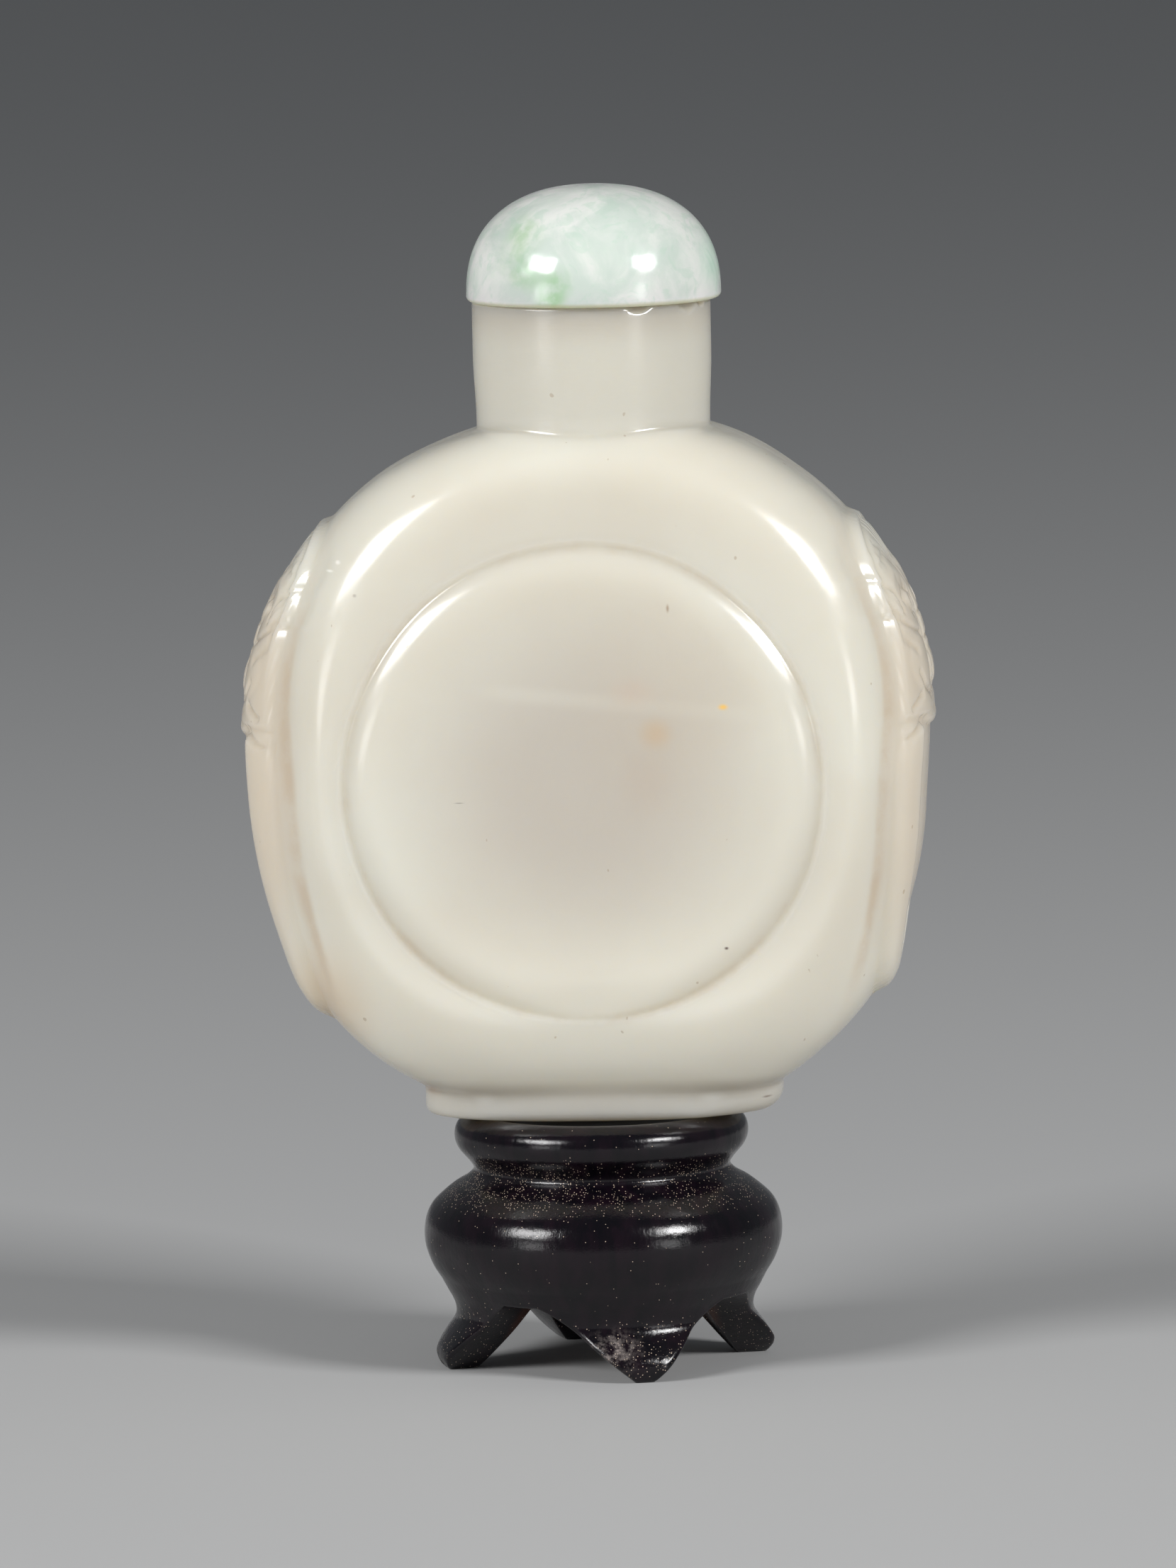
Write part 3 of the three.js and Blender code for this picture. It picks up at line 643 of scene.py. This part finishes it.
# ------------------------------------------------------------------ material helpers
class Tree:
    """A material's nodes. A socket is set to a value or linked to another node's output."""

    def __init__(self, name):
        self.material = bpy.data.materials.new(name)
        self.material.use_nodes = True
        self.nodes = self.material.node_tree.nodes
        self.shader = self.nodes["Principled BSDF"]
        self.place = self.add("ShaderNodeTexCoord").outputs["Object"]

    def add(self, kind, sockets=None, **settings):
        """A new node; sockets gives its inputs by name or number."""
        node = self.nodes.new(kind)
        for key, value in settings.items():
            setattr(node, key, value)
        for key, value in (sockets or {}).items():
            self.put(node.inputs[key], value)
        return node

    def put(self, socket, value):
        if isinstance(value, bpy.types.NodeSocket):
            self.material.node_tree.links.new(value, socket)
        else:
            socket.default_value = (*value, 1) if socket.type == "RGBA" else value

    def math(self, operation, a, b=0.0):
        return self.add("ShaderNodeMath", {0: a, 1: b}, operation=operation).outputs[0]

    def total(self, value, *others):
        for other in others:
            value = self.math("ADD", value, other)
        return value

    def product(self, value, *others):
        for other in others:
            value = self.math("MULTIPLY", value, other)
        return value

    def minus(self, a, b):
        return self.math("SUBTRACT", a, b)

    def size(self, value):
        return self.math("ABSOLUTE", value)

    def distance(self, a, b):
        """How far a point with these two coordinates lies from the origin."""
        return self.math("SQRT", self.total(self.product(a, a), self.product(b, b)))

    def ramp(self, value, low, high, start=0.0, end=1.0):
        """Goes smoothly from start to end as the value goes from low to high."""
        sockets = {"Value": value, "From Min": low, "From Max": high,
                   "To Min": start, "To Max": end}
        return self.add("ShaderNodeMapRange", sockets, interpolation_type="SMOOTHSTEP").outputs[0]

    def noise(self, scale, detail, roughness=0.55, stretch=None, distortion=0.0):
        """Noise with so many cells in a millimetre; stretch is a scale for each axis."""
        vector = self.place
        if stretch:
            sockets = {"Vector": vector, "Scale": stretch}
            vector = self.add("ShaderNodeMapping", sockets).outputs[0]
        sockets = {"Vector": vector, "Scale": scale * METRE, "Detail": detail,
                   "Roughness": roughness, "Distortion": distortion}
        return self.add("ShaderNodeTexNoise", sockets).outputs["Fac"]

    def dots(self, scale, radius, share):
        """Dots in a share of the cells of a random pattern with so many cells in a millimetre."""
        cells = self.add("ShaderNodeTexVoronoi", {"Vector": self.place, "Scale": scale * METRE})
        pick = self.add("ShaderNodeSeparateColor", {0: cells.outputs["Color"]}).outputs[0]
        near = self.ramp(cells.outputs["Distance"], radius, 0.5 * radius)
        return self.product(near, self.math("LESS_THAN", pick, share))

    def blend(self, factor, a, b):
        """Colour a, or colour b where the factor is 1."""
        node = self.add("ShaderNodeMix", data_type="RGBA")
        for name, kind, value in (("Factor", "VALUE", factor), ("A", "RGBA", a), ("B", "RGBA", b)):
            self.put(next(i for i in node.inputs if (i.name, i.type) == (name, kind)), value)
        return next(o for o in node.outputs if o.type == "RGBA")

    def spot(self, centre, size, soft):
        """1 at a place, and 0 outside an ellipsoid round it. soft is the share that fades."""
        offset = self.add("ShaderNodeVectorMath", {0: self.place, 1: Vector(centre) / METRE},
                          operation="SUBTRACT").outputs[0]
        scaled = self.add("ShaderNodeVectorMath", {0: offset, 1: Vector(size) / METRE},
                          operation="DIVIDE").outputs[0]
        away = self.add("ShaderNodeVectorMath", {0: scaled}, operation="LENGTH").outputs["Value"]
        return self.ramp(away, 1 - soft, 1, 1, 0)

    def axes(self):
        """The place's three coordinates in millimetres."""
        split = self.add("ShaderNodeSeparateXYZ", {0: self.place})
        return [self.product(socket, METRE) for socket in split.outputs]

    def finish(self, colour, roughness, height, bump_depth, **constants):
        """Colour, roughness and a height map of so many millimetres, then plain values."""
        sockets = {"Height": height, "Strength": 1.0, "Distance": bump_depth / METRE}
        normal = self.add("ShaderNodeBump", sockets).outputs[0]
        made = {"Base Color": colour, "Roughness": roughness, "Normal": normal}
        plain = {key.replace("_", " "): value for key, value in constants.items()}
        for key, value in {**made, **plain}.items():
            self.put(self.shader.inputs[key], value)
        return self.material


# ------------------------------------------------------------------ nephrite
FOOT_PLACE = Vector((0, 0, FOOT_BOTTOM))

# Marks on the bottle: place from the middle of the foot's underside, size, strength, colour.
MARKS = [
    ((6, -11, 29.25), (9, 6, 11), 0.35, (0.53, 0.46, 0.37)),          # a darker, warmer patch on the disc's upper right
    ((4.9, -11, 27.55), (1.6, 3, 1.5), 0.45, (0.57, 0.40, 0.23)),     # a stain, and its ends
    ((3.4, -11, 30.45), (2.2, 3, 1.6), 0.22, (0.62, 0.46, 0.36)),
    ((4.2, -11, 24.15), (2.6, 3, 3.2), 0.25, (0.52, 0.43, 0.35)),
    ((9.6, -11, 29.35), (0.5, 2, 0.3), 0.95, (0.85, 0.55, 0.14)),     # a yellow fleck
    ((5.9, -11, 36.25), (0.16, 2, 0.42), 0.6, (0.30, 0.18, 0.10)),    # brown and dark specks
    ((9.5, -11, 12.55), (0.22, 2, 0.16), 0.9, (0.08, 0.03, 0.02)),
    ((-15.8, -9, 37.35), (0.22, 3, 0.18), 0.6, (0.30, 0.26, 0.22)),
    ((11.8, -3, 1.15), (0.5, 2.5, 0.12), 0.7, (0.12, 0.07, 0.05)),
    ((-8.8, -11, 22.95), (0.5, 2, 0.07), 0.6, (0.20, 0.17, 0.14)),    # a scratch
    ((-17.6, -8, 38.95), (0.4, 3, 0.14), 0.9, (0.90, 0.88, 0.82)),    # pale nicks
    ((-17.0, -8, 39.55), (0.28, 3, 0.22), 0.9, (0.90, 0.88, 0.82)),
    ((-7.9, -6.5, 1.55), (1.3, 2, 0.6), 0.4, (0.78, 0.76, 0.70)),     # rubbed places on the foot
    ((8.2, -6.5, 1.55), (1.4, 2, 0.5), 0.4, (0.78, 0.76, 0.70)),
    ((-11.8, -2, 2.15), (1.7, 5, 0.9), 0.5, (0.50, 0.33, 0.19)),      # dirt by the foot
    ((-18.5, -5.5, 8.75), (5, 8, 6.5), 0.5, (0.62, 0.46, 0.29)),      # the left ring's rusty end
]

# A light vein slants across the front disc: height over the disc's middle at x = 0, fall for
# each millimetre of x, and its middle and half length along x.
VEIN_RISE = 5.9
VEIN_FALL = 0.103
VEIN_MIDDLE = 2.4
VEIN_HALF_LENGTH = 11

VALLEY_OUTLINE = 1.28               # where the dirt beside a handle lies, with 1 at its edge


def jade_material():
    tree = Tree("jade")
    x, y, z = tree.axes()
    beside = tree.size(x)
    clouds = tree.ramp(tree.noise(0.05, 3, 0.5, distortion=0.3), 0.35, 0.68)
    colour = tree.blend(clouds, (0.645, 0.61, 0.525), (0.685, 0.665, 0.585))

    # lighter low down as painted light; a darker foot; a greyer neck as painted shade, with a brown
    # tone and painted shade under its lip
    # painted light: the body lightened towards the foot
    low = tree.ramp(z, FOOT_BOTTOM + 18.25, FOOT_BOTTOM + 4.25)
    colour = tree.blend(low, colour, (0.79, 0.755, 0.655))
    foot = tree.ramp(z, FOOT_BOTTOM + 3.2, FOOT_BOTTOM + 1.9, 0, 0.9)
    colour = tree.blend(foot, colour, (0.52, 0.48, 0.41))
    # painted shade: the neck greyed and darkened
    neck = tree.ramp(z, NECK_TOP - 9.4, NECK_TOP - 7.1, 0, 0.8)
    colour = tree.blend(neck, colour, (0.58, 0.56, 0.49))
    # a brown tone under the lip, darkened as painted shade
    under_lip_brown_and_shade = tree.ramp(z, NECK_TOP - 3.1, NECK_TOP - 0.2, 0, 0.45)
    colour = tree.blend(under_lip_brown_and_shade, colour, (0.47, 0.39, 0.30))

    # greyer towards the disc's middle as painted shade, with a light vein
    across, up = tree.minus(x, DISC_SHIFT), tree.minus(z, DISC_MID)
    from_axis = tree.distance(across, up)
    # painted shade: the disc's middle greyed
    painted_middle_shade = tree.ramp(from_axis, 15.5, 3, 0, 0.85)
    colour = tree.blend(painted_middle_shade, colour, (0.515, 0.47, 0.41))
    off_vein = tree.size(tree.minus(tree.total(up, tree.product(x, VEIN_FALL)), VEIN_RISE))
    along = tree.size(tree.minus(x, VEIN_MIDDLE))
    vein = tree.product(tree.ramp(off_vein, 0.9, 0.05, 0, 0.17), tree.ramp(y, -8, -9),
                        tree.ramp(along, VEIN_HALF_LENGTH, VEIN_HALF_LENGTH - 4))
    colour = tree.blend(vein, colour, (0.78, 0.77, 0.68))

    # warmer at the handles, with brown dirt in the valleys round them
    side = tree.ramp(beside, 19.5, 22.5, 0, 0.55)
    colour = tree.blend(side, colour, (0.59, 0.49, 0.38))
    half = tree.ramp(z, RING_MID, MASK_MID, RING_HALF_WIDTH, MASK_HALF_WIDTH)
    share = tree.math("DIVIDE", tree.size(y), half)
    below = tree.math("DIVIDE", tree.minus(RING_MID, z), RING_MID - RING_BOTTOM[0])
    below = tree.math("MAXIMUM", below, 0.0)
    outline = tree.total(tree.ramp(z, MASK_MID, MASK_TOP + 3.5),
                         tree.math("POWER", share, MASK_POWER),
                         tree.math("POWER", below, MASK_POWER))
    off_valley = tree.size(tree.minus(outline, VALLEY_OUTLINE))
    grimy = tree.ramp(tree.noise(0.3, 4, 0.65), 0.3, 0.65, 0.3, 1)
    valley = tree.product(tree.ramp(off_valley, 0.26, 0.03, 0, 0.4), grimy,
                          tree.ramp(z, MASK_TOP + 0.4, MASK_BOTTOM - 1.8, 0.25, 1),
                          tree.ramp(z, RING_BOTTOM[0] + 0.9, RING_BOTTOM[0] + 6.4, 0.15, 1),
                          tree.ramp(beside, 15, 17))
    colour = tree.blend(valley, colour, (0.52, 0.37, 0.22))

    # uneven dirt in the groove round the disc
    patchy = tree.ramp(tree.noise(0.25, 4, 0.65), 0.38, 0.72)
    dirt = tree.product(tree.ramp(from_axis, GROOVE_RADIUS - 0.6, GROOVE_RADIUS - 0.1),
                        tree.ramp(from_axis, GROOVE_RADIUS + 0.7, GROOVE_RADIUS + 0.1),
                        patchy, tree.ramp(up, 13.2, -11.8, 0.2, 0.25))
    colour = tree.blend(dirt, colour, (0.50, 0.39, 0.26))

    for place, size, strength, tint in MARKS:
        mark = tree.product(tree.spot(FOOT_PLACE + Vector(place), size, 0.95), strength)
        colour = tree.blend(mark, colour, tint)

    # sparse brown specks
    brown = tree.ramp(tree.noise(1.1, 1, 0.5, stretch=(1, 1, 0.8)), 0.782, 0.795, 0, 0.4)
    colour = tree.blend(brown, colour, (0.33, 0.22, 0.12))

    # hand-polished waves, a fine grain, and turning scratches round the neck
    scratches = tree.product(tree.noise(0.35, 3, 0.7, stretch=(1, 1, 9)),
                             tree.ramp(z, NECK_TOP - 10.1, NECK_TOP - 7.6, 0.03, 0.25))
    grain = tree.product(tree.noise(4.0, 2, 0.6), 0.01)
    height = tree.total(tree.noise(0.16, 2, 0.5), scratches, grain)
    roughness = tree.ramp(tree.noise(0.5, 4, 0.7), 0.3, 0.7, 0.16, 0.22)
    return tree.finish(
        colour, roughness, height, 0.04, IOR=1.6, Subsurface_Weight=0.95,
        Subsurface_Radius=(1.0, 0.88, 0.7), Subsurface_Scale=0.006)


# ------------------------------------------------------------------ jadeite
STOPPER_PLACE = Vector((STOPPER_SHIFT, 0, STOPPER_BOTTOM))

# The green streak that runs down the stopper's front left: place from the middle of its
# underside, size and strength.
STREAK = [
    ((-4.4, -6.2, 5.05), (1.9, 5, 1.9), 0.5),
    ((-5.1, -6.8, 3.35), (1.6, 5, 2.2), 0.4),
    ((-4.0, -7.6, 2.15), (1.8, 5, 1.6), 0.4),
    ((-2.2, -8.3, 1.65), (1.6, 5, 1.7), 0.6),
    ((-2.6, -8.5, 0.45), (1.5, 5, 1.2), 0.8),
]


def jadeite_material():
    tree = Tree("green_jade")
    clouds = tree.ramp(tree.noise(0.22, 5, 0.6, distortion=0.8), 0.36, 0.66)
    colour = tree.blend(clouds, (0.585, 0.65, 0.595), (0.75, 0.755, 0.72))
    veins = tree.ramp(tree.noise(0.5, 3, 0.6, distortion=1.5), 0.52, 0.62, 0, 0.35)
    colour = tree.blend(veins, colour, (0.49, 0.63, 0.53))
    broken = tree.ramp(tree.noise(0.7, 3, 0.6), 0.35, 0.6, 0.35, 1)
    for place, size, strength in STREAK:
        spot = tree.spot(STOPPER_PLACE + Vector(place), size, 0.95)
        colour = tree.blend(tree.product(spot, strength, broken), colour, (0.27, 0.50, 0.23))

    # a brown line round the underside's edge, and a greener +X edge
    height_above = tree.minus(tree.axes()[2], STOPPER_BOTTOM)
    colour = tree.blend(tree.ramp(height_above, 0.4, 0.1, 0, 0.55), colour, (0.55, 0.52, 0.26))
    edge = tree.spot(STOPPER_PLACE + Vector((8.5, -1, 2.85)), (1.6, 8, 3.5), 0.9)
    colour = tree.blend(tree.product(edge, 0.35), colour, (0.30, 0.60, 0.42))

    height = tree.total(tree.noise(0.3, 2, 0.5), tree.product(tree.noise(3, 2), 0.03))
    roughness = tree.ramp(tree.noise(0.8, 4, 0.6), 0.3, 0.7, 0.15, 0.23)
    return tree.finish(
        colour, roughness, height, 0.12, IOR=1.66, Subsurface_Weight=0.85,
        Subsurface_Radius=(0.8, 1.0, 0.8), Subsurface_Scale=0.003)


# ------------------------------------------------------------------ dark hardwood
def wood_material():
    tree = Tree("dark_wood")
    x, y, z = tree.axes()
    grain = tree.noise(0.9, 4, 0.6, stretch=(1, 1, 0.18))
    colour = tree.blend(tree.ramp(grain, 0.35, 0.7), (0.002, 0.0015, 0.003), (0.007, 0.003, 0.006))
    sunk_top = tree.ramp(tree.distance(x, y), 8.4, 7.6)
    colour = tree.blend(sunk_top, colour, (0.05, 0.018, 0.012))

    # fine dust in the waist, thickest at the left, and on the legs
    waist = tree.product(tree.ramp(z, WAIST_HEIGHT - 2.8, WAIST_HEIGHT - 1),
                         tree.ramp(z, WAIST_HEIGHT + 2, WAIST_HEIGHT + 0.6),
                         tree.ramp(x, 2, -5, 0.75, 1))
    legs = tree.ramp(z, APRON_EDGE + 0.4, APRON_EDGE - 2.6, 0.02, 0.35)
    cloudy = tree.ramp(tree.noise(0.5, 3, 0.6), 0.3, 0.65, 0.25, 1)
    share = tree.total(tree.product(tree.math("MAXIMUM", waist, legs), cloudy), 0.004)
    dust = tree.product(tree.dots(6.5, 0.3, share), 0.85)
    colour = tree.blend(dust, colour, (0.55, 0.44, 0.34))

    # the front leg's lower left edge is worn pale
    worn = tree.product(tree.spot((1.1, -11.2, 2.3), (2.6, 2.5, 2.0), 0.9),
                        tree.ramp(tree.noise(1.6, 4, 0.7), 0.42, 0.75, 0, 0.7))
    colour = tree.blend(worn, colour, (0.36, 0.31, 0.29))

    height = tree.total(tree.product(grain, 0.6), tree.noise(0.25, 3, 0.6),
                        tree.product(tree.noise(1.8, 5, 0.75), 0.4))
    roughness = tree.ramp(tree.noise(0.6, 4, 0.7), 0.3, 0.7, 0.1, 0.17)
    return tree.finish(colour, roughness, height, 0.05, IOR=1.43)


# ------------------------------------------------------------------ floor, light and camera
# Directions are in degrees: azimuth from -Y, in front, towards +X, and elevation above level.
FLOOR_HALF = 6000
LIGHT_DISTANCE = 900

# name, azimuth, elevation, width, height, power in watts
SOFTBOXES = [
    ("softbox_left", -50, 27.5, 380, 250, 6.1),
    ("softbox_right", 54.5, 28.5, 270, 180, 6.25),
    ("fill_left", -44, 3.5, 240, 130, 0.45),
    ("fill_right", 46, 3.5, 200, 130, 0.4),
]

CAMERA_AZIMUTH = 3.0
CAMERA_ELEVATION = 6.5
CAMERA_ROLL = 1.22
CAMERA_DISTANCE = 950
CAMERA_LENS = 312
SENSOR_SIDE = 36
CAMERA_TARGET = (-0.42, 0, 40.65)


def put_in_scene(obj):
    bpy.context.scene.collection.objects.link(obj)
    return obj


def aimed(target, azimuth, elevation, distance, roll=0.0):
    """Where a light or camera stands that looks at the target from a direction."""
    a, e = math.radians(azimuth), math.radians(elevation)
    back = Vector((math.sin(a) * math.cos(e), -math.cos(a) * math.cos(e), math.sin(e)))
    turn = back.to_track_quat("Z", "Y").to_matrix().to_4x4()
    place = Matrix.Translation((Vector(target) + back * distance) / METRE)
    return place @ turn @ Matrix.Rotation(math.radians(-roll), 4, "Z")


def floor():
    corners = [(-1, -1), (1, -1), (1, 1), (-1, 1)]
    mesh = bpy.data.meshes.new("floor")
    mesh.from_pydata([(x * FLOOR_HALF / METRE, y * FLOOR_HALF / METRE, 0) for x, y in corners],
                     [], [(0, 1, 2, 3)])
    tree = Tree("floor")
    tree.put(tree.shader.inputs["Base Color"], (0.46, 0.46, 0.46))
    tree.put(tree.shader.inputs["Roughness"], 0.75)
    mesh.materials.append(tree.material)
    put_in_scene(bpy.data.objects.new("floor", mesh))


def softbox(name, azimuth, elevation, width, height, power):
    light = bpy.data.lights.new(name, "AREA")
    light.shape = "RECTANGLE"
    light.size, light.size_y = width / METRE, height / METRE
    light.energy = power
    obj = put_in_scene(bpy.data.objects.new(name, light))
    obj.matrix_world = aimed((0, 0, BODY_MID), azimuth, elevation, LIGHT_DISTANCE)


def dim_world():
    world = bpy.data.worlds.new("studio")
    world.use_nodes = True
    background = world.node_tree.nodes["Background"]
    background.inputs["Color"].default_value = (0.9, 0.95, 1, 1)
    background.inputs["Strength"].default_value = 0.14
    bpy.context.scene.world = world


def camera():
    data = bpy.data.cameras.new("camera")
    data.sensor_fit = "AUTO"
    data.sensor_width = SENSOR_SIDE
    data.lens = CAMERA_LENS
    data.clip_start, data.clip_end = 0.05, 20
    obj = put_in_scene(bpy.data.objects.new("camera", data))
    obj.matrix_world = aimed(
        CAMERA_TARGET, CAMERA_AZIMUTH, CAMERA_ELEVATION, CAMERA_DISTANCE, CAMERA_ROLL)
    bpy.context.scene.camera = obj


make_piece("jade_bottle", bottle_skin(), "bottle", jade_material())
make_piece("jadeite_stopper", stopper_skin(), "stopper", jadeite_material())
make_piece("wood_stand", stand_skin(), "stand", wood_material())

floor()
for settings in SOFTBOXES:
    softbox(*settings)
dim_world()
camera()
bpy.context.scene.view_settings.view_transform = "Standard"
